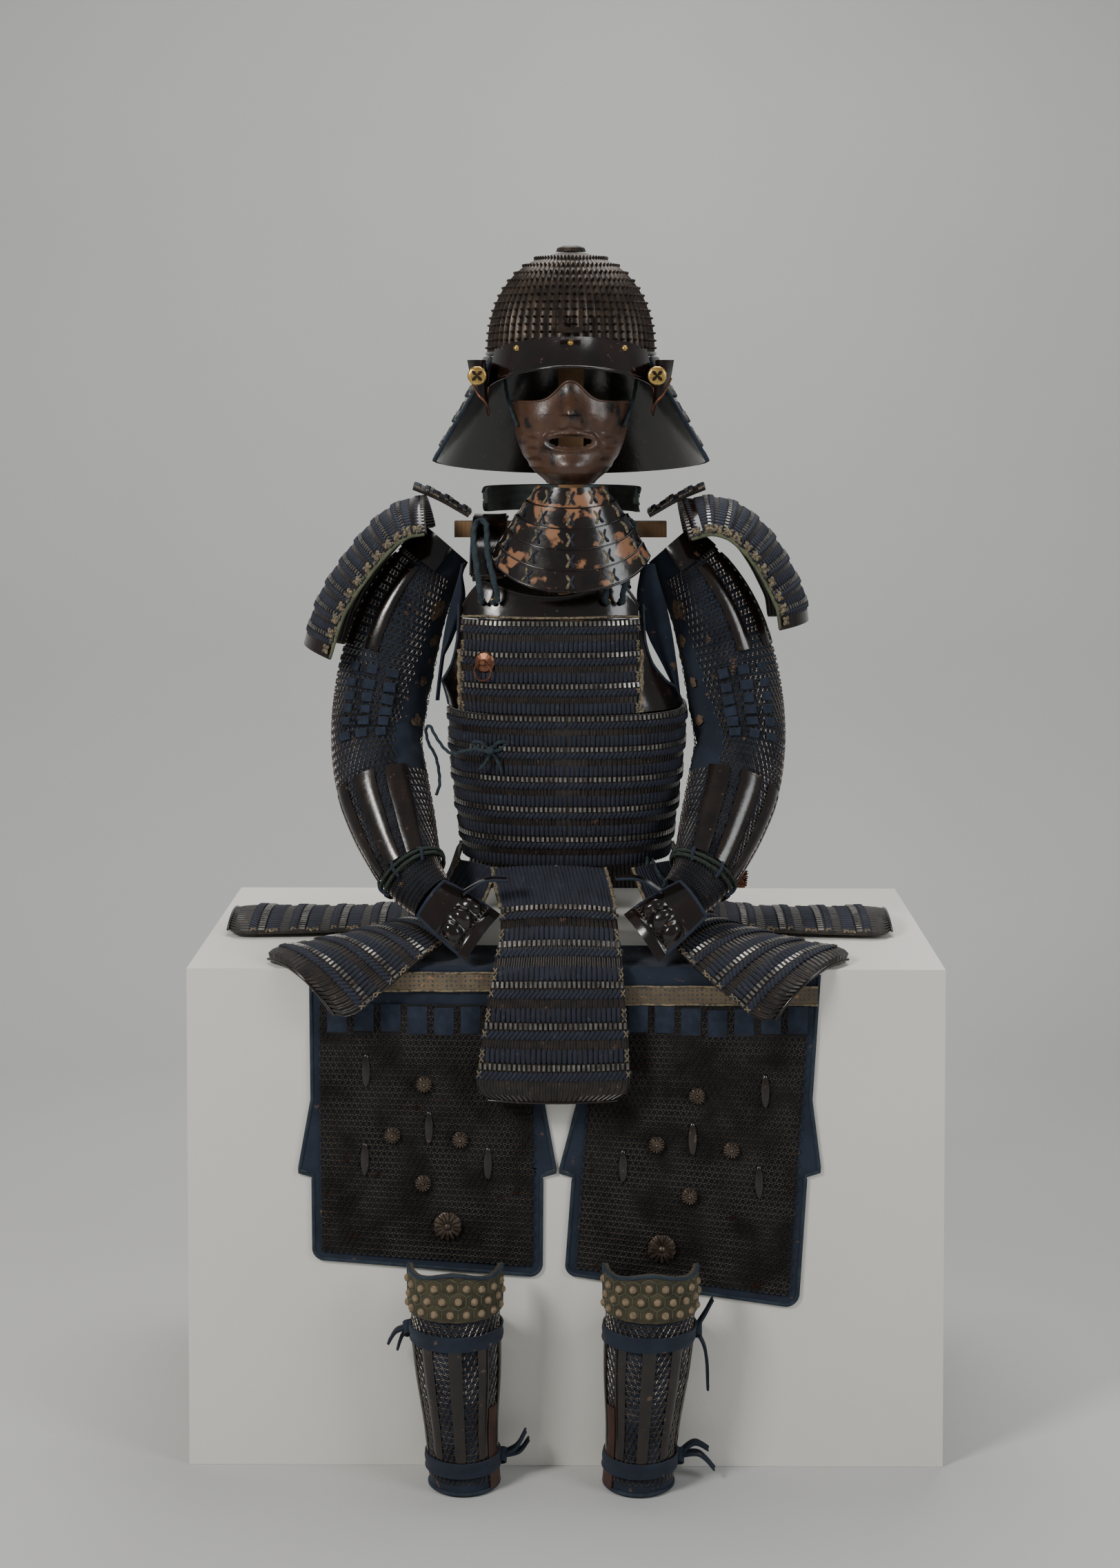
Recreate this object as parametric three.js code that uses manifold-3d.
// A set of samurai armour, seated on a painted display box.
//
// Frame: millimetres, +Z up, the armour faces -Y, +X is the wearer's left side.
// The origin is the middle of the box's footprint, on the floor.
//
// Every laced unit is a wall whose outer side steps out at the top of each lame, because each
// lower lame lies outside the one above it. Cloth pieces are walls of cloth thickness.

import * as THREE from 'three';
import Module from 'manifold-3d';
import { mergeVertices } from 'three/addons/utils/BufferGeometryUtils.js';

const wasm = await Module();
wasm.setup();

// ---------------------------------------------------------------- driving dimensions

const GAP = 0.3;            // left between pieces that touch
const CLOTH = 2;            // quilted hemp cloth with its lining
const MAIL = 4.5;           // mail, from the cloth to the outside of the rings
const SLEEVE_WALL = 5.5;    // cloth with mail sewn on it
const PLATE = 2;            // lacquered plate
const LACED = 3;            // scales with their lacing, at the foot of a lame
const LAME_STEP = 3;        // how far the head of a lame stands out from the foot above it

const BOX = { width: 1016, depth: 508, height: 676 };
const BOX_TOP = BOX.height;
const BOX_FRONT = -BOX.depth / 2;

const HEAD_X = 6;           // the helmet, mask and throat guard sit a little to the wearer's left
const CHEST_X = -22;        // the breast is turned a little to the wearer's right
const CHEST_HALF = 123;     // half the width of the laced breast
const ARMS_X = -12;         // middle of the two sleeves

const CHEST_TOP = 1131;     // head of the first breast lame
const WAIST_TOP = 1002;     // head of the first lame that goes round the body
const WAIST_BOTTOM = 789;
const CHEST_LAMES = 3;
const WAIST_LAMES = 5;
const TASSET_LAMES = 5;
const BACK_LAMES = 4;

// Horizontal sections of the cuirass. The exponent squares the oval a little.
const TORSO_EXPONENT = 2.7;
const TORSO = [
  { z: 780, x: 0, halfWidth: 147, halfDepth: 122 },
  { z: 860, x: 0, halfWidth: 158, halfDepth: 133 },
  { z: 945, x: 0, halfWidth: 167, halfDepth: 140 },
  { z: 1002, x: -1, halfWidth: 169, halfDepth: 143 },
  { z: 1060, x: -20, halfWidth: 163, halfDepth: 142 },
  { z: 1120, x: -20, halfWidth: 154, halfDepth: 135 },
  { z: 1190, x: -20, halfWidth: 146, halfDepth: 116 },
  { z: 1260, x: -20, halfWidth: 140, halfDepth: 96 },
];

// Sleeve sections, from the shoulder to the back of the hand. "out" is measured from ARMS_X.
const SLEEVE = [
  { out: 158, y: 6, z: 1226, across: 40, deep: 44 },
  { out: 190, y: 2, z: 1188, across: 54, deep: 56 },
  { out: 222, y: -4, z: 1130, across: 64, deep: 62 },
  { out: 243, y: -10, z: 1062, across: 70, deep: 65 },
  { out: 254, y: -20, z: 1000, across: 70, deep: 65 },
  { out: 258, y: -38, z: 948, across: 67, deep: 62 },
  { out: 248, y: -68, z: 896, across: 67, deep: 57 },
  { out: 229, y: -108, z: 846, across: 61, deep: 49 },
  { out: 211, y: -144, z: 808, across: 52, deep: 40 },
  { out: 193, y: -176, z: 780, across: 43, deep: 31 },
  { out: 171, y: -199, z: 761, across: 36, deep: 21 },
];

// Crest lines of the two shoulder guards, from the strap to the tip.
const SHOULDER_GUARD = {
  width: 200,
  arc: THREE.MathUtils.degToRad(50),
  lames: 8,
  left: [
    { x: 160, z: 1287 }, { x: 203, z: 1296 }, { x: 247, z: 1285 }, { x: 283, z: 1256 },
    { x: 308, z: 1223 }, { x: 328, z: 1186 }, { x: 341, z: 1155 }, { x: 346, z: 1120 },
  ],
  right: [
    { x: -203, z: 1296 }, { x: -237, z: 1289 }, { x: -268, z: 1270 }, { x: -296, z: 1241 },
    { x: -320, z: 1210 }, { x: -340, z: 1181 }, { x: -360, z: 1142 }, { x: -377, z: 1086 },
  ],
};

// The seven tassets. Most follow a centre line with a direction across them and a half width at
// the waist and at the foot. The two at the front corners of the lap follow their own edges,
// left and right as seen from outside, because they bend over the box's edge at a slant.
// "crown" is how far the middle stands out of the chord, at the waist and at the foot.
const TASSETS = [
  {
    name: 'tasset_front',
    left: [[-102, -134, 786], [-95, -176, 764], [-87, -222, 741], [-90, -253, 709],
      [-98, -275, 664], [-106, -283, 617], [-113, -288, 570], [-121, -290, 508]],
    right: [[54, -134, 786], [62, -176, 764], [68, -222, 741], [73, -253, 709],
      [77, -275, 664], [81, -283, 617], [84, -288, 570], [87, -290, 508]],
    crown: [5, 13],
  },
  {
    name: 'tasset_front_left',
    left: [[92, -130, 786], [110, -160, 744], [138, -206, 712], [160, -256, 692], [194, -276, 664],
      [230, -290, 637], [264, -303, 610]],
    right: [[148, -72, 786], [176, -84, 738], [220, -110, 710], [268, -142, 702], [312, -170, 697],
      [354, -195, 694], [396, -217, 691]],
    crown: [4, 30],
  },
  {
    name: 'tasset_front_right',
    left: [[-148, -72, 786], [-178, -84, 738], [-226, -110, 710], [-278, -142, 702],
      [-324, -170, 698], [-370, -195, 694], [-417, -217, 690]],
    right: [[-96, -130, 786], [-114, -160, 744], [-148, -206, 712], [-188, -256, 694],
      [-222, -275, 669], [-257, -290, 641], [-294, -303, 614]],
    crown: [4, 30],
  },
  {
    name: 'tasset_rear_left',
    line: [[153, 2, 786], [172, 2, 736], [208, 0, 702], [268, -2, 689], [335, -3, 686],
      [400, -4, 685], [462, -4, 685]],
    across: [0, 1, 0], half: [62, 84], crown: [4, 15],
  },
  {
    name: 'tasset_rear_right',
    line: [[-153, 2, 786], [-172, 2, 736], [-212, 0, 702], [-280, -2, 689], [-350, -3, 686],
      [-420, -4, 685], [-482, -4, 685]],
    across: [0, -1, 0], half: [62, 84], crown: [4, 15],
  },
  {
    name: 'tasset_back_left',
    line: [[64, 136, 786], [64, 172, 758], [65, 214, 732], [66, 254, 706], [67, 276, 664],
      [67, 285, 618], [67, 289, 570], [67, 291, 520]],
    across: [-1, 0, 0], half: [60, 75], crown: [5, 10],
  },
  {
    name: 'tasset_back_right',
    line: [[-84, 136, 786], [-85, 172, 758], [-86, 214, 732], [-87, 254, 706], [-88, 276, 664],
      [-88, 285, 618], [-88, 289, 570], [-88, 291, 520]],
    across: [-1, 0, 0], half: [60, 75], crown: [5, 10],
  },
];
const TASSET_CORD_SHARE = 0.25;   // of a tasset's length that is bare lacing, below the waist
const TASSET_LENGTH = 285;
const CORNER_RADIUS = 26;

// Thigh guards: x of the two edges at the box's edge and at the hem, and the hem's heights.
const THIGH_GUARDS = [
  { side: 'right', top: [-341, -30], hem: [-338, -33], hemZ: [283, 262] },
  { side: 'left', top: [31, 339], hem: [1, 311], hemZ: [262, 222] },
];
const THIGH_BORDER = 12;
const THIGH_MAIL_TOP = 629;

const SHIN_GUARDS = [
  { side: 'right', foot: -134, knee: -146 },
  { side: 'left', foot: 97, knee: 113 },
];
const SHIN = { y: -302, bottom: 0.5, top: 236, kneeTop: 297, wrap: THREE.MathUtils.degToRad(104) };
const SHIN_SECTIONS = [
  { z: 0, halfWidth: 47, halfDepth: 46 },
  { z: 70, halfWidth: 47, halfDepth: 46 },
  { z: 160, halfWidth: 56, halfDepth: 52 },
  { z: 236, halfWidth: 59, halfDepth: 54 },
  { z: 300, halfWidth: 60, halfDepth: 52 },
];
const TIE = { width: 19, thickness: 3, heights: { upper: 207, lower: 36 } };

// the button on the breast and the ring that swings in its eye
const RING = {
  x: -113, z: 1074, radius: 12.5, wire: 2.8, eye: 4.8, bossRadius: 15, reach: 7.4,
  tilt: THREE.MathUtils.degToRad(-20),
};

const COLOURS = {
  box: [0xe6e4da, 0.85, 0],
  wood: [0xa87f4f, 0.7, 0],
  iron: [0x35302c, 0.5, 0.6],
  lacquer: [0x1d1716, 0.25, 0],
  maskLacquer: [0x6a4a38, 0.45, 0],
  laced: [0x272c40, 0.8, 0],
  cloth: [0x1f2c44, 0.9, 0],
  mail: [0x24201d, 0.6, 0.5],
  copper: [0xa9643f, 0.4, 0.8],
  cord: [0x2c4552, 0.85, 0],
  greenCord: [0x3f5a47, 0.85, 0],
  padding: [0x50524a, 0.9, 0],
  quilt: [0x544c36, 0.9, 0],
  tassel: [0x8a4a2a, 0.9, 0],
};

// ---------------------------------------------------------------- curves and tables

const { degToRad, lerp, clamp } = THREE.MathUtils;
const vector = (x, y, z) => new THREE.Vector3(x, y, z);

/** Smooth value between four evenly spaced ones (Catmull-Rom). */
function blend(before, from, to, after, t) {
  const slopeFrom = (to - before) / 2;
  const slopeTo = (after - from) / 2;
  const t2 = t * t;
  const t3 = t2 * t;
  return (2 * t3 - 3 * t2 + 1) * from + (t3 - 2 * t2 + t) * slopeFrom
    + (3 * t2 - 2 * t3) * to + (t3 - t2) * slopeTo;
}

/** Every column of a table of named rows, at a place counted in rows from its start. */
function rowAt(table, place) {
  const last = table.length - 1;
  const index = clamp(Math.floor(place), 0, last - 1);
  const t = clamp(place - index, 0, 1);
  const pick = (offset) => table[clamp(index + offset, 0, last)];
  const result = {};
  for (const column of Object.keys(table[0])) {
    result[column] = blend(pick(-1)[column], pick(0)[column], pick(1)[column], pick(2)[column], t);
  }
  return result;
}

/** Every column of a table whose z rises from row to row, at a height. */
function sectionAt(table, z) {
  let index = 0;
  while (index < table.length - 2 && table[index + 1].z < z) {
    index += 1;
  }
  const t = (z - table[index].z) / (table[index + 1].z - table[index].z);
  return rowAt(table, index + clamp(t, 0, 1));
}

/** A smooth line through points, entered by its share of the whole length. */
function route(points) {
  const table = points.map(([x, y, z]) => ({ x, y, z }));
  const steps = 160;
  const samples = [];
  const lengths = [0];
  for (let i = 0; i <= steps; i += 1) {
    const row = rowAt(table, (i / steps) * (table.length - 1));
    samples.push(vector(row.x, row.y, row.z));
    if (i > 0) {
      lengths.push(lengths[i - 1] + samples[i].distanceTo(samples[i - 1]));
    }
  }
  return (share) => {
    const target = clamp(share, 0, 1) * lengths[steps];
    let i = 1;
    while (i < steps && lengths[i] < target) {
      i += 1;
    }
    const t = (target - lengths[i - 1]) / (lengths[i] - lengths[i - 1]);
    return samples[i - 1].clone().lerp(samples[i], t);
  };
}

/** Direction of a route at a share of its length. */
function heading(path, share) {
  const step = 0.01;
  const ahead = path(Math.min(share + step, 1));
  return ahead.sub(path(Math.max(share - step, 0))).normalize();
}

const evenly = (count, from = 0, to = 1) => (
  Array.from({ length: count + 1 }, (_, i) => lerp(from, to, i / count))
);
const plainRows = (places) => places.map((v) => ({ v, lift: 0 }));

const HEAD_SLOPE = 0.004;   // how far below the foot above it a head starts, as a share of the wall

/** Rows of a stack of lames: each one's head stands out, and its foot lies under the next. */
function lameRows(count, from = 0, to = 1, step = LAME_STEP) {
  const edges = evenly(count, from, to);
  const rows = [];
  for (let i = 0; i < count; i += 1) {
    rows.push({ v: edges[i] + (i > 0 ? HEAD_SLOPE : 0), lift: step }, { v: edges[i + 1], lift: 0 });
  }
  return rows;
}

// ---------------------------------------------------------------- solids

/** A closed mesh from points and triangles, turned so that its faces point out. */
function solid(points, triangles) {
  let volume = 0;
  for (const [a, b, c] of triangles) {
    volume += points[a].dot(points[b].clone().cross(points[c]));
  }
  const faces = volume < 0 ? triangles.map(([a, b, c]) => [a, c, b]) : triangles;
  const geometry = new THREE.BufferGeometry();
  const values = points.flatMap((point) => point.toArray());
  geometry.setAttribute('position', new THREE.Float32BufferAttribute(values, 3));
  geometry.setIndex(faces.flat());
  geometry.computeVertexNormals();
  return geometry;
}

/** Triangles that close the strip between two edges of a wall, each entered by its v. */
function strip(outer, inner) {
  const triangles = [];
  let i = 0;
  let j = 0;
  while (i < outer.length - 1 || j < inner.length - 1) {
    const outerNext = i < outer.length - 1 ? outer[i + 1].v : Infinity;
    const innerNext = j < inner.length - 1 ? inner[j + 1].v : Infinity;
    if (outerNext <= innerNext) {
      triangles.push([outer[i].id, outer[i + 1].id, inner[j].id]);
      i += 1;
    } else {
      triangles.push([outer[i].id, inner[j + 1].id, inner[j].id]);
      j += 1;
    }
  }
  return triangles;
}

/**
 * A closed wall on a surface. The surface takes u, to the right as seen from outside, and v,
 * downwards. Each outer row stands out by its lift, and the inner side lies at -thickness.
 */
function wall(surface, { us, rows, innerPlaces, thickness, closed = false }) {
  const places = innerPlaces ?? rows.map((row) => row.v);
  const step = 1e-3;
  const at = (u, v, out) => {
    const du = surface(closed ? u + step : Math.min(u + step, 1), v)
      .sub(surface(closed ? u - step : Math.max(u - step, 0), v));
    const dv = surface(u, Math.min(v + step, 1)).sub(surface(u, Math.max(v - step, 0)));
    const normal = dv.cross(du).normalize();
    return surface(u, v).addScaledVector(normal, out);
  };
  const columns = us.length;
  const points = [];
  for (const { v, lift } of rows) {
    us.forEach((u) => points.push(at(u, v, lift)));
  }
  for (const v of places) {
    us.forEach((u) => points.push(at(u, v, -thickness)));
  }
  const outerId = (row, column) => row * columns + (column % columns);
  const innerId = (row, column) => (rows.length + row) * columns + (column % columns);
  const triangles = [];
  const quad = (a, b, c, d) => triangles.push([a, b, c], [a, c, d]);
  const spans = closed ? columns : columns - 1;
  for (let c = 0; c < spans; c += 1) {
    for (let r = 0; r < rows.length - 1; r += 1) {
      quad(outerId(r, c), outerId(r + 1, c), outerId(r + 1, c + 1), outerId(r, c + 1));
    }
    for (let r = 0; r < places.length - 1; r += 1) {
      quad(innerId(r, c), innerId(r, c + 1), innerId(r + 1, c + 1), innerId(r + 1, c));
    }
    const outerLast = rows.length - 1;
    const innerLast = places.length - 1;
    quad(innerId(0, c), outerId(0, c), outerId(0, c + 1), innerId(0, c + 1));
    quad(outerId(outerLast, c), innerId(innerLast, c), innerId(innerLast, c + 1), outerId(outerLast, c + 1));
  }
  if (!closed) {
    const outerEdge = (c) => rows.map(({ v }, r) => ({ v, id: outerId(r, c) }));
    const innerEdge = (c) => places.map((v, r) => ({ v, id: innerId(r, c) }));
    const first = strip(outerEdge(0), innerEdge(0));
    const last = strip(outerEdge(columns - 1), innerEdge(columns - 1));
    triangles.push(...first.map(([a, b, c]) => [a, c, b]), ...last);
  }
  return solid(points, triangles);
}

/** A tube of round section along a smooth line through points. */
function tube(points, diameter, steps, sides = 8) {
  const circle = new THREE.Shape();
  circle.absarc(0, 0, diameter / 2, 0, Math.PI * 2);
  const curve = new THREE.CatmullRomCurve3(points.map((point) => vector(...point)));
  return new THREE.ExtrudeGeometry(circle, { steps, curveSegments: sides / 2, extrudePath: curve });
}

const manifoldOf = (geometry) => {
  const bare = geometry.clone();
  bare.deleteAttribute('normal');
  bare.deleteAttribute('uv');
  const merged = mergeVertices(bare, 1e-4);
  return new wasm.Manifold(new wasm.Mesh({
    numProp: 3,
    vertProperties: new Float32Array(merged.attributes.position.array),
    triVerts: new Uint32Array(merged.index.array),
  }));
};

const geometryOf = (manifold) => {
  const mesh = manifold.getMesh();
  const geometry = new THREE.BufferGeometry();
  geometry.setAttribute('position', new THREE.BufferAttribute(mesh.vertProperties, 3));
  geometry.setIndex(new THREE.BufferAttribute(mesh.triVerts, 1));
  return geometry;
};

/** One solid from several that run into each other. */
const joined = (first, ...others) => (
  geometryOf(others.reduce((sum, other) => sum.add(manifoldOf(other)), manifoldOf(first)))
);
const cut = (body, tool) => geometryOf(manifoldOf(body).subtract(manifoldOf(tool)));
const block = (x0, x1, y0, y1, z0, z1) => (
  new THREE.BoxGeometry(x1 - x0, y1 - y0, z1 - z0)
    .translate((x0 + x1) / 2, (y0 + y1) / 2, (z0 + z1) / 2)
);

// ---------------------------------------------------------------- the exported group

const group = new THREE.Group();

function add(name, geometry, [colour, roughness, metalness]) {
  const material = new THREE.MeshStandardMaterial({ color: colour, roughness, metalness });
  const mesh = new THREE.Mesh(geometry, material);
  mesh.name = name;
  group.add(mesh);
}

const sides = { left: 1, right: -1 };   // the sign of x

// ---------------------------------------------------------------- box and stand

function boxAndStand() {
  add('display_box', block(
    -BOX.width / 2, BOX.width / 2, -BOX.depth / 2, BOX.depth / 2, 0, BOX.height,
  ), COLOURS.box);
  const post = block(HEAD_X - 18, HEAD_X + 18, 4, 36, BOX_TOP + GAP, 1520);
  const bar = block(-162, 144, 8, 32, 1238, 1261);
  const head = new THREE.CylinderGeometry(86, 92, 16, 16).rotateX(Math.PI / 2)
    .translate(HEAD_X, 12, 1520);
  add('armour_stand', joined(post, bar, head), COLOURS.wood);
}

// ---------------------------------------------------------------- helmet

const BOWL = { halfWidth: 118, halfDepth: 132, y: 4, bottom: 1500, top: 1648, hole: 0.985 };
const bowlPoint = (angle, rise) => {
  // rise runs from 0 at the rim to 1 at the crown
  const share = Math.sqrt(1 - rise ** 2.3);
  return vector(
    HEAD_X + BOWL.halfWidth * share * Math.sin(angle),
    BOWL.y - BOWL.halfDepth * share * Math.cos(angle),
    lerp(BOWL.bottom, BOWL.top, rise),
  );
};

function helmet() {
  const rises = [0.985, 0.93, 0.8, 0.6, 0.35, 0];
  const bowl = (u, v) => bowlPoint(u * 2 * Math.PI, rises[0] * (1 - v));
  add('helmet_bowl', wall(bowl, {
    us: evenly(24).slice(0, -1),
    rows: plainRows(rises.map((rise) => 1 - rise / rises[0])),
    thickness: PLATE,
    closed: true,
  }), COLOURS.iron);

  const profile = [[7, 0], [22, 0], [20, 5], [12, 8], [7, 8], [7, 0]]
    .map(([radius, height]) => new THREE.Vector2(radius, height));
  add('helmet_crown_ring', new THREE.LatheGeometry(profile, 14).rotateX(Math.PI / 2)
    .translate(HEAD_X, BOWL.y, BOWL.top + GAP), COLOURS.iron);

  const reach = degToRad(62);
  const peak = (u, v) => {
    const angle = lerp(-reach, reach, u);
    const front = Math.cos(angle);
    const inner = vector(121 * Math.sin(angle), BOWL.y - 136 * front, 1494 + 30 * front);
    const outer = vector(131 * Math.sin(angle), 14 - 178 * front, 1434 + 47 * front);
    return inner.lerp(outer, v).setX(lerp(inner.x, outer.x, v) + HEAD_X);
  };
  add('helmet_peak', wall(peak, {
    us: evenly(12), rows: plainRows([0, 0.5, 1]), thickness: PLATE,
  }), COLOURS.lacquer);

  const bracket = (x0, x1, z0, z1) => block(HEAD_X + x0, HEAD_X + x1, -143, -136, z0, z1);
  add('crest_bracket', joined(
    bracket(-17, -11, 1529, 1562), bracket(11, 17, 1529, 1562), bracket(-17, 17, 1529, 1537),
  ), COLOURS.iron);

  for (const [side, sign] of Object.entries(sides)) {
    const plan = route([[120, -54, 0], [121, -82, 0], [118, -106, 0], [129, -117, 0], [144, -96, 0]]);
    const lower = route([[0, 0, 1458], [1, 0, 1442], [2, 0, 1414], [3, 0, 1430], [4, 0, 1466]]);
    const ear = (u, v) => {
      const across = sign > 0 ? u : 1 - u;
      const point = plan(across);
      const z = lerp(1492, lower(across).z, v);
      return vector(HEAD_X + sign * (point.x - 4 * v), point.y + 8 * v, z);
    };
    add(`helmet_turnback_${side}`, wall(ear, {
      us: evenly(8), rows: plainRows(evenly(2)), thickness: PLATE,
    }), COLOURS.lacquer);
  }

  const neckGuard = (u, v) => {
    const end = degToRad(lerp(115, 99, v));
    const angle = lerp(-end, end, 1 - u);
    const radius = lerp(122, 203, v);
    const back = Math.max(0, Math.cos(angle));
    return vector(
      HEAD_X + radius * Math.sin(angle) * (1 - 0.03 * v),
      10 + (radius + 4) * Math.cos(angle),
      lerp(1497, 1350, v ** 0.92) - 26 * v * back,
    );
  };
  add('neck_guard', wall(neckGuard, {
    us: evenly(20), rows: lameRows(4), innerPlaces: evenly(4), thickness: LACED,
  }), COLOURS.laced);
}

// ---------------------------------------------------------------- mask and throat guard

const MASK = { y: -48, top: 1463, chin: 1319 };
const MASK_SECTIONS = [   // an armoured half face, from the chin up to the bridge of the nose
  { z: 1319, halfWidth: 34, front: 68 },
  { z: 1336, halfWidth: 52, front: 88 },
  { z: 1362, halfWidth: 69, front: 86 },
  { z: 1392, halfWidth: 79, front: 84 },
  { z: 1425, halfWidth: 83, front: 82 },
  { z: 1463, halfWidth: 83, front: 80 },
];

function mask() {
  const surface = (u, v) => {
    const side = lerp(-1, 1, u);
    const nose = Math.exp(-((side / 0.2) ** 2));
    // the upper edge dips under each eye and climbs on the nose
    const top = lerp(1434, MASK.top, nose);
    const z = lerp(top, MASK.chin, v);
    const section = sectionAt(MASK_SECTIONS, z);
    const angle = side * degToRad(84);
    const ridge = Math.exp(-(((z - 1416) / 22) ** 2)) * 24 + (z > 1416 ? 10 : 0) * (1 - v);
    return vector(
      HEAD_X + section.halfWidth * Math.sin(angle),
      MASK.y - section.front * Math.cos(angle) - ridge * Math.exp(-((side / 0.15) ** 2)),
      z,
    );
  };
  const shell = wall(surface, {
    us: evenly(14), rows: plainRows(evenly(8)), thickness: 2.5,
  });
  const lips = new THREE.Shape();
  lips.absellipse(0, 0, 34, 10, 0, Math.PI * 2);
  const mouth = new THREE.ExtrudeGeometry(lips, { depth: 80, bevelEnabled: false, curveSegments: 6 })
    .rotateX(Math.PI / 2).translate(HEAD_X, -110, 1379);
  add('face_mask', cut(shell, mouth), COLOURS.maskLacquer);

  const bib = (u, v) => {
    const angle = lerp(-1, 1, u) * degToRad(80);
    const swell = v ** 0.85;
    return vector(
      HEAD_X + lerp(44, 112, swell) * Math.sin(angle),
      lerp(-98, -94, v) - lerp(42, 80, v) * Math.cos(angle),
      lerp(1315, 1173, v) + 55 * v * (1 - Math.cos(angle)),
    );
  };
  add('throat_guard', wall(bib, {
    us: evenly(12), rows: lameRows(5, 0, 1, 2.4), innerPlaces: evenly(5), thickness: 2.4,
  }), COLOURS.lacquer);
}

// ---------------------------------------------------------------- cuirass

/** A point of the cuirass, at an angle from the front towards the wearer's left. */
function torsoPoint(angle, z) {
  const section = sectionAt(TORSO, z);
  const power = 2 / TORSO_EXPONENT;
  const round = (value) => Math.sign(value) * Math.abs(value) ** power;
  return vector(
    section.x + section.halfWidth * round(Math.sin(angle)),
    -section.halfDepth * round(Math.cos(angle)),
    z,
  );
}

/** A point of the cuirass at a given x, on the front (-1) or the back (1). */
function torsoAt(x, z, face = -1) {
  const section = sectionAt(TORSO, z);
  const share = clamp(Math.abs((x - section.x) / section.halfWidth), 0, 0.999);
  return vector(x, face * section.halfDepth * (1 - share ** TORSO_EXPONENT) ** (1 / TORSO_EXPONENT), z);
}

/** Height of the breastplate's upper edge: a neck line between two horns. */
const neckLine = (side) => {
  const horn = Math.abs(side) / 0.74;
  return horn < 1 ? 1164 + 21 * horn ** 2 : 1185 - 36 * ((Math.abs(side) - 0.74) / 0.26) ** 1.5;
};

/** The armhole's edge: how far the side plate reaches from the breast, at a height. */
const ARMHOLE = [
  { z: 1004, reach: 66 }, { z: 1022, reach: 59 }, { z: 1042, reach: 36 }, { z: 1068, reach: 17 },
  { z: 1100, reach: 7 }, { z: 1150, reach: 4 },
];

function cuirass() {
  const chestX = (u) => CHEST_X + CHEST_HALF * lerp(-1, 1, u);
  add('chest_plate', wall((u, v) => {
    const z = lerp(neckLine(lerp(-1, 1, u)), CHEST_TOP + 1.5, v);
    return torsoAt(chestX(u), z);
  }, { us: evenly(12), rows: plainRows([0, 0.5, 1]), thickness: PLATE }), COLOURS.lacquer);

  add('front_chest_lames', wall((u, v) => (
    torsoAt(chestX(u), lerp(CHEST_TOP, WAIST_TOP + 1, v))
  ), {
    us: evenly(10), rows: lameRows(CHEST_LAMES), innerPlaces: evenly(CHEST_LAMES), thickness: LACED,
  }), COLOURS.laced);

  // round the body, from the opening under the wearer's right arm back to it
  const opening = { from: degToRad(-79), to: degToRad(265) };
  add('waist_lames', wall((u, v) => (
    torsoPoint(lerp(opening.from, opening.to, u), lerp(WAIST_TOP - 1, WAIST_BOTTOM, v))
  ), {
    us: evenly(26), rows: lameRows(WAIST_LAMES), innerPlaces: evenly(WAIST_LAMES), thickness: LACED,
  }), COLOURS.laced);

  for (const [side, sign] of Object.entries(sides)) {
    const edge = CHEST_X + sign * (CHEST_HALF + 2);
    const height = (v) => lerp(1150, 1004, v);
    const outward = sign > 0 ? 1 : 0.75;
    const sheet = (u, v) => {
      const z = height(v);
      const reach = sectionAt(ARMHOLE, z).reach * outward;
      const section = sectionAt(TORSO, z);
      const across = sign > 0 ? u : 1 - u;
      const x = Math.min(Math.abs(edge + sign * reach * across - section.x), section.halfWidth * 0.985);
      return torsoAt(section.x + sign * x, z);
    };
    add(`armpit_plate_${side}`, wall(sheet, {
      us: evenly(4), rows: plainRows([0, 0.34, 0.56, 0.74, 0.88, 1]), thickness: PLATE,
    }), COLOURS.lacquer);
  }

  const backX = (u) => -20 + 112 * lerp(1, -1, u);
  add('back_lames', wall((u, v) => (
    torsoAt(backX(u), lerp(1174, WAIST_TOP + 1, v), 1)
  ), {
    us: evenly(8), rows: lameRows(BACK_LAMES), innerPlaces: evenly(BACK_LAMES), thickness: LACED,
  }), COLOURS.laced);
  add('back_plate', wall((u, v) => (
    torsoAt(backX(u), lerp(1254 - 10 * Math.cos(lerp(-1, 1, u) * 2.6), 1176, v), 1)
  ), { us: evenly(8), rows: plainRows([0, 0.5, 1]), thickness: PLATE }), COLOURS.lacquer);
}

// ---------------------------------------------------------------- shoulders

/** A wall on a line with a fixed direction across it, level or arched. */
function ribbon(points, across, half, thickness, spans = 10, columns = 2) {
  const path = route(points);
  const sideways = vector(...across);
  return wall((u, v) => path(v).addScaledVector(sideways, lerp(-half, half, u)), {
    us: evenly(columns), rows: plainRows(evenly(spans)), thickness,
  });
}

const STRAP = [[0, -108, 1190], [0, -86, 1226], [0, -44, 1254], [0, 6, 1266.5],
  [0, 44, 1266], [0, 64, 1265]];

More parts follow.
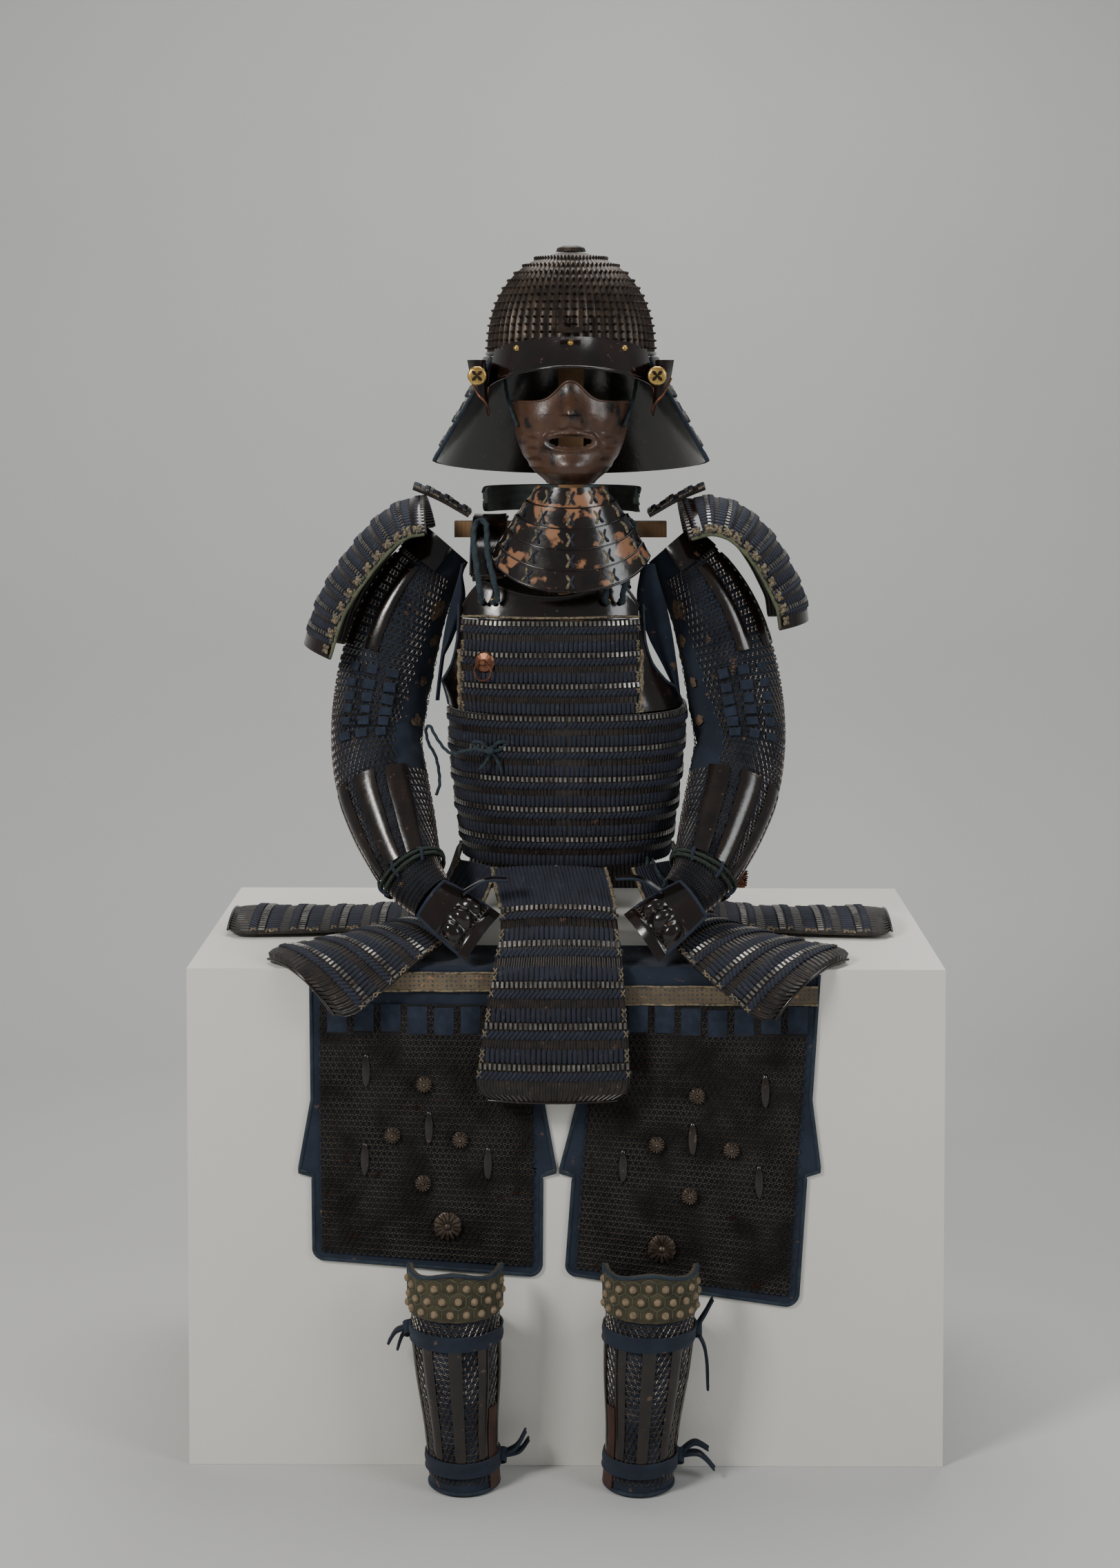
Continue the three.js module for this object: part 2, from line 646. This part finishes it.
function shoulders() {
  for (const [side, sign] of Object.entries(sides)) {
    const middle = CHEST_X + sign * 88;
    const line = STRAP.map(([, y, z]) => [middle, y, z]).reverse();
    add(`shoulder_strap_${side}`, ribbon(line, [-1, 0, 0], 23, 4, 8), COLOURS.lacquer);

    // three small plates that climb outwards from the strap
    const root = sign > 0 ? 118 : -140;
    const path = route([[root, 22, 1276], [root + sign * 42, 22, 1300], [root + sign * 80, 22, 1316]]);
    const half = 34;
    add(`shoulder_wing_${side}`, wall((u, v) => {
      const sideways = lerp(-half, half, sign > 0 ? u : 1 - u);
      return path(v).add(vector(0, sideways, -6 * (sideways / half) ** 2));
    }, {
      us: evenly(4), rows: lameRows(3, 0, 1, 2.5), innerPlaces: evenly(3), thickness: LACED,
    }), COLOURS.laced);

    const crest = SHOULDER_GUARD[side];
    const line3 = route(crest.map(({ x, z }) => [x, 6, z]));
    const radius = SHOULDER_GUARD.width / 2 / Math.sin(SHOULDER_GUARD.arc);
    const guard = (u, v) => {
      const along = heading(line3, v);
      const out = vector(-along.z * sign, 0, along.x * sign);
      const angle = lerp(-1, 1, sign > 0 ? u : 1 - u) * SHOULDER_GUARD.arc;
      return line3(v).add(vector(0, radius * Math.sin(angle), 0))
        .addScaledVector(out, -radius * (1 - Math.cos(angle)));
    };
    add(`shoulder_guard_${side}`, wall(guard, {
      us: evenly(6), rows: lameRows(SHOULDER_GUARD.lames), innerPlaces: evenly(SHOULDER_GUARD.lames),
      thickness: LACED,
    }), COLOURS.laced);
  }

  // padded collar round the back of the neck, with a round end that shows on the right side
  add('neck_pad', wall((u, v) => {
    const angle = lerp(degToRad(104), degToRad(-92), u);
    const end = Math.min(u, 1 - u) / 0.09;
    const lap = end < 1 ? Math.sqrt(1 - (1 - end) ** 2) : 1;
    return vector(
      -8 + 114 * Math.sin(angle),
      34 + 92 * Math.cos(angle),
      1291 + 18 * lerp(Math.max(lap, 0.25), -Math.max(lap, 0.25), v),
    );
  }, { us: [0, 0.03, 0.07, 0.2, 0.35, 0.5, 0.65, 0.8, 0.93, 0.97, 1], rows: plainRows([0, 0.5, 1]),
    thickness: 7 }), COLOURS.padding);
}

// ---------------------------------------------------------------- sleeves and hands

/** Point of a sleeve: u goes round it from its outer side over the front, v down the arm. */
function sleevePoint(sign, u, v, out = 0) {
  const last = SLEEVE.length - 1;
  const row = rowAt(SLEEVE, v * last);
  const before = rowAt(SLEEVE, Math.max(v * last - 0.05, 0));
  const after = rowAt(SLEEVE, Math.min(v * last + 0.05, last));
  const along = vector(sign * (after.out - before.out), after.y - before.y, after.z - before.z).normalize();
  const across = vector(0, 1, 0).cross(along).normalize().negate();
  const deep = across.clone().cross(along).normalize();
  if (deep.y > 0) {
    deep.negate();
  }
  if (across.x * sign < 0) {
    across.negate();
  }
  const angle = -sign * u * 2 * Math.PI;
  return vector(ARMS_X + sign * row.out, row.y, row.z)
    .addScaledVector(across, (row.across + out) * Math.cos(angle))
    .addScaledVector(deep, (row.deep + out) * Math.sin(angle) * -sign);
}

/** How far out from the middle of the arms the inner side of a sleeve lies, at a height and y. */
function sleeveInside(z, y) {
  let place = 0;
  while (rowAt(SLEEVE, place).z > z) {
    place += 0.02;
  }
  const row = rowAt(SLEEVE, place);
  return row.out - row.across * Math.sqrt(Math.max(0, 1 - ((y - row.y) / row.deep) ** 2));
}

const GUSSET_Y = -38;
const GUSSET_EDGE = [
  { z: 1008, x: 170 }, { z: 1050, x: 153 }, { z: 1095, x: 130 }, { z: 1150, x: 112 }, { z: 1204, x: 118 },
];

function sleeves() {
  for (const [side, sign] of Object.entries(sides)) {
    add(`sleeve_${side}`, wall((u, v) => sleevePoint(sign, sign * -u, v), {
      us: evenly(14).slice(0, -1), rows: plainRows(evenly(12)), thickness: SLEEVE_WALL, closed: true,
    }), COLOURS.cloth);

    // cloth that joins the sleeve to the armhole, hanging behind the side plate
    add(`sleeve_gusset_${side}`, wall((u, v) => {
      const z = lerp(1204, 1008, v);
      const to = sleeveInside(z, GUSSET_Y) - 11;
      const from = Math.min(sectionAt(GUSSET_EDGE, z).x + (sign > 0 ? 0 : 20), to - 6);
      const across = sign > 0 ? u : 1 - u;
      return vector(
        ARMS_X + sign * lerp(from, to, across),
        GUSSET_Y - 10 * Math.sin(Math.PI * across) * (1 - v),
        z,
      );
    }, { us: evenly(4), rows: plainRows(evenly(5)), thickness: CLOTH }), COLOURS.cloth);

    const tie = sleeveBand(sign, 0.875, 9, 3);
    add(`wrist_tie_${side}`, tie, COLOURS.greenCord);

    add(`hand_guard_${side}`, handGuard(side, sign), COLOURS.lacquer);
  }
}

/** A cord band round the wrist, over the mail. */
function sleeveBand(sign, place, width, thickness) {
  return wall((u, v) => sleevePoint(sign, sign * -u, place + (v - 0.5) * width / 620, thickness + 1.6), {
    us: evenly(14).slice(0, -1), rows: plainRows([0, 1]), thickness, closed: true,
  });
}

const HAND = { x: { left: 136, right: 146 }, y: -243, z: 746, length: 88, width: 80, rise: 18 };

/** A domed plate over the back of the hand, with a narrow thumb piece. */
function handGuard(side, sign) {
  const fingers = vector(-0.82 * sign, -0.2, -0.53).normalize();
  const out = vector(-0.12 * sign, -0.8, 0.58).normalize();
  const upper = fingers.clone().cross(out).normalize().multiplyScalar(sign);
  const centre = vector(sign * HAND.x[side], HAND.y, HAND.z);
  const plate = (u, v) => {
    const across = lerp(-1, 1, sign > 0 ? 1 - u : u);
    const narrow = 1 - 0.22 * (1 - v) ** 2;
    return centre.clone()
      .addScaledVector(fingers, HAND.length * (v - 0.5))
      .addScaledVector(upper, across * narrow * HAND.width / 2)
      .addScaledVector(out, HAND.rise * (0.6 - across ** 2 * 0.8 - 0.5 * v ** 2));
  };
  const shell = wall(plate, { us: evenly(6), rows: plainRows(evenly(5)), thickness: 4 });
  const root = plate(sign > 0 ? 0 : 1, 0.35).addScaledVector(upper, -3);
  const tip = root.clone().add(vector(-62 * sign, -4, 20));
  const bend = root.clone().lerp(tip, 0.5).add(vector(0, -2, 9));
  const line = [root, bend, tip].map((point) => point.toArray());
  const thumb = ribbon(line, [0, 1, 0], 11, 3, 5, 2);
  return joined(shell, thumb);
}

// ---------------------------------------------------------------- tassets

/** Outline share for round lower corners: 1 along the piece, less near its foot. */
const roundFoot = (toFoot, radius, half) => (
  toFoot >= radius ? 1 : 1 - (radius - Math.sqrt(radius ** 2 - (radius - toFoot) ** 2)) / half
);

/** The two edges of a tasset as routes, left and right as seen from outside. */
function tassetEdges({ line, across, half, left, right }) {
  if (left) {
    return [route(left), route(right)];
  }
  const path = route(line);
  const sideways = vector(...across);
  const edge = (sign) => (v) => path(v).addScaledVector(sideways, sign * lerp(half[0], half[1], v));
  return [edge(-1), edge(1)];
}

function tassets() {
  for (const tasset of TASSETS) {
    const [left, right] = tassetEdges(tasset);
    const middle = (v) => left(v).lerp(right(v), 0.5);
    const surface = (u, v) => {
      const chord = right(v).sub(left(v));
      const out = heading(middle, v).cross(chord).normalize();
      const half = chord.length() / 2;
      const reach = 0.5 * roundFoot((1 - v) * TASSET_LENGTH, CORNER_RADIUS, half);
      const sideways = lerp(-1, 1, u);
      const crown = lerp(tasset.crown[0], tasset.crown[1], v) * (1 - sideways ** 2);
      return middle(v).addScaledVector(chord, reach * sideways).addScaledVector(out, crown);
    };
    const laced = lameRows(TASSET_LAMES, TASSET_CORD_SHARE, 1);
    const foot = laced.pop();
    const corner = [0.925, 0.975];
    add(tasset.name, wall(surface, {
      us: evenly(4),
      rows: [...plainRows([0, TASSET_CORD_SHARE / 2, TASSET_CORD_SHARE]), ...laced,
        { v: corner[0], lift: 1 }, { v: corner[1], lift: 0.3 }, foot],
      innerPlaces: [...evenly(8, 0, 0.88), ...corner, 1],
      thickness: LACED,
    }), COLOURS.laced);
  }
}

// ---------------------------------------------------------------- thigh guards

/** The cloth lies on the box, bends over its edge on a small radius and hangs down. */
function thighGuards() {
  const bend = { y: BOX_FRONT + 2, z: BOX_TOP - 2, radius: 5.3 };
  const lie = 118;
  for (const { side, top, hem, hemZ } of THIGH_GUARDS) {
    const drop = bend.z - (hemZ[0] + hemZ[1]) / 2;
    const quarter = bend.radius * Math.PI / 2;
    const total = lie + quarter + drop;
    const surface = (u, v) => {
      const gone = v * total;
      if (gone <= lie + quarter) {
        const turn = clamp((gone - lie) / bend.radius, 0, Math.PI / 2);
        const flat = Math.max(lie - gone, 0);
        return vector(
          lerp(top[0], top[1], u),
          bend.y + flat - bend.radius * Math.sin(turn),
          bend.z + bend.radius * Math.cos(turn),
        );
      }
      const down = (gone - lie - quarter) / drop;
      const foot = lerp(hemZ[0], hemZ[1], u);
      const z = lerp(bend.z, foot, down);
      const middle = lerp(top[0] + top[1], hem[0] + hem[1], down) / 2;
      const halfWidth = lerp(top[1] - top[0], hem[1] - hem[0], down) / 2;
      const flare = z < 500 && z > 400 ? 19 * (500 - z) / 100 : 0;
      const corner = roundFoot((1 - down) * drop, 15, halfWidth);
      return vector(
        middle + lerp(-1, 1, u) * (halfWidth * corner + flare), bend.y - bend.radius, z,
      );
    };
    const placeOf = (z) => (lie + quarter + (bend.z - z)) / total;
    const hemPlace = placeOf((hemZ[0] + hemZ[1]) / 2 + 15);
    const places = [0, lie / total, (lie + quarter / 2) / total, (lie + quarter) / total,
      placeOf(580), placeOf(502), placeOf(403), placeOf(398), hemPlace, (hemPlace + 1) / 2, 1];
    add(`thigh_guard_cloth_${side}`, wall(surface, {
      us: evenly(6), rows: plainRows(places), thickness: CLOTH,
    }), COLOURS.cloth);

    const mail = (u, v) => {
      const slack = THIGH_BORDER / (top[1] - top[0]);
      const inset = lerp(slack, 1 - slack, u);
      const z = lerp(THIGH_MAIL_TOP, lerp(hemZ[0], hemZ[1], inset) + THIGH_BORDER, v);
      const down = (bend.z - z) / drop;
      return vector(
        lerp(lerp(top[0], top[1], inset), lerp(hem[0], hem[1], inset), down),
        bend.y - bend.radius - GAP - MAIL,
        z,
      );
    };
    add(`thigh_guard_mail_${side}`, wall(mail, {
      us: evenly(4), rows: plainRows(evenly(5)), thickness: MAIL,
    }), COLOURS.mail);
  }
}

// ---------------------------------------------------------------- shin guards

const shinCentre = ({ foot, knee }, z) => lerp(foot, knee, clamp(z / SHIN.top, 0, 1));

function shinPoint(guard, angle, z, out = 0) {
  const section = sectionAt(SHIN_SECTIONS, z);
  return vector(
    shinCentre(guard, z) + (section.halfWidth + out) * Math.sin(angle),
    SHIN.y - (section.halfDepth + out) * Math.cos(angle),
    z,
  );
}

// Loose ends of the four ties, from the knot at the side of the leg: offsets in x, y and z.
const TIE_ENDS = {
  shin_tie_upper_right: [
    [[-1, 0, 0], [-20, 2, -6], [-30, 6, -24]],
    [[-1, 0, 0], [-12, 8, -14], [-18, 12, -34]],
  ],
  shin_tie_lower_right: [
    [[1, 0, 0], [22, 2, 10], [34, 6, 30]],
    [[1, 0, 0], [26, 8, 2], [38, 12, 16]],
  ],
  shin_tie_upper_left: [
    [[1, 0, 0], [16, 2, -30], [20, 6, -84]],
    [[1, 0, 0], [14, 6, 18], [24, 10, 36]],
  ],
  shin_tie_lower_left: [
    [[1, 0, 0], [30, 2, 2], [52, 6, -20]],
    [[1, 0, 0], [24, 8, 14], [44, 12, 4]],
  ],
};

function shinGuards() {
  for (const guard of SHIN_GUARDS) {
    const half = SHIN.wrap;
    add(`shin_guard_${guard.side}`, wall((u, v) => (
      shinPoint(guard, lerp(-half, half, u), lerp(SHIN.top, SHIN.bottom, v))
    ), { us: evenly(12), rows: plainRows(evenly(4)), thickness: 4 }), COLOURS.mail);

    const pad = degToRad(92);
    add(`knee_pad_${guard.side}`, wall((u, v) => {
      const side = lerp(-1, 1, u);
      const top = SHIN.kneeTop - 5 * Math.abs(side) + 3 * Math.cos(side * 6);
      return shinPoint(guard, pad * side, lerp(top, SHIN.top + GAP, v), 3);
    }, { us: evenly(10), rows: plainRows([0, 0.5, 1]), thickness: 8 }), COLOURS.quilt);

    for (const [level, height] of Object.entries(TIE.heights)) {
      const name = `shin_tie_${level}_${guard.side}`;
      const band = wall((u, v) => {
        const point = shinPoint(
          guard, u * 2 * Math.PI, height + TIE.width * (0.5 - v), TIE.thickness + 1 + GAP,
        );
        return point.setY(Math.min(point.y, BOX_FRONT - 5));
      }, { us: evenly(18).slice(0, -1), rows: plainRows([0, 1]), thickness: TIE.thickness, closed: true });
      const ends = TIE_ENDS[name].map((points) => {
        const sign = Math.sign(points[0][0]);
        const knot = shinPoint(guard, sign * Math.PI / 2, height, 1.5);
        const line = points.map(([x, y, z]) => [knot.x + x, knot.y + y + 4, knot.z + z]);
        return ribbon(line, [0, 1, 0], 8, 2.4, 4, 1);
      });
      add(name, joined(band, ...ends), COLOURS.cloth);
    }
  }
}

// ---------------------------------------------------------------- ring, cords and tassel

function chestRing() {
  const front = torsoAt(RING.x, RING.z).y - LAME_STEP - 1;
  const place = (geometry, out, z) => geometry.translate(0, -out, 0)
    .rotateZ(RING.tilt).translate(RING.x, front, z);
  const profile = [[0, 0], [RING.bossRadius, 0], [RING.bossRadius - 2, 2.5], [5, 4.5], [4.4, 9.5],
    [2.6, 11], [0, 11]].map(([radius, height]) => new THREE.Vector2(radius, height));
  const button = place(new THREE.LatheGeometry(profile, 14).rotateX(Math.PI), 0, RING.z);
  const hole = new THREE.CylinderGeometry(RING.eye / 2, RING.eye / 2, 20, 10).rotateZ(Math.PI / 2);
  add('chest_ring_boss', cut(button, place(hole, RING.reach, RING.z)), COLOURS.copper);
  const loop = new THREE.TorusGeometry(RING.radius, RING.wire / 2, 6, 18).rotateX(Math.PI / 2);
  add('chest_ring', place(loop, RING.reach, RING.z - RING.radius), COLOURS.copper);
}

const SHOULDER_CORD = { diameter: 8 };
const SHOULDER_CORDS = {
  right: [[-118, -125, 1158], [-119, -133, 1172], [-122, -131, 1192], [-127, -114, 1222],
    [-130, -92, 1246], [-128, -68, 1262], [-121, -60, 1266], [-113, -72, 1262], [-111, -94, 1246],
    [-109, -117, 1222], [-101, -133, 1192], [-96, -135, 1172], [-95, -128, 1158]],
  left: [[54, -128, 1158], [55, -135, 1172], [60, -133, 1192], [74, -117, 1222], [79, -94, 1246],
    [81, -72, 1262], [88, -60, 1266], [95, -68, 1262], [96, -92, 1246], [92, -114, 1222],
    [84, -131, 1192], [79, -133, 1172], [78, -125, 1158]],
};

const SIDE_CORD = { diameter: 4.5 };
const SIDE_CORD_LINE = [
  [-106, -150, 951], [-124, -148, 955], [-142, -140, 951], [-158, -128, 946], [-170, -118, 952],
  [-182, -114, 968], [-190, -112, 982], [-196, -106, 976], [-193, -98, 956], [-184, -92, 938],
  [-179, -92, 916], [-178, -94, 896], [-183, -94, 882],
];

function trims() {
  for (const side of Object.keys(sides)) {
    add(`shoulder_cord_${side}`, tube(SHOULDER_CORDS[side], SHOULDER_CORD.diameter, 22), COLOURS.cord);
  }
  add('side_tie_cord', tube(SIDE_CORD_LINE, SIDE_CORD.diameter, 26), COLOURS.cord);
  const tuft = [[0, 0], [4, 0], [9, 16], [15, 40], [13, 58], [0, 62]]
    .map(([radius, height]) => new THREE.Vector2(radius, height));
  add('tassel', new THREE.LatheGeometry(tuft, 8).rotateZ(degToRad(-112))
    .translate(212, 156, 716), COLOURS.tassel);
}

boxAndStand();
helmet();
mask();
cuirass();
shoulders();
sleeves();
tassets();
thighGuards();
shinGuards();
chestRing();
trims();

export default group;
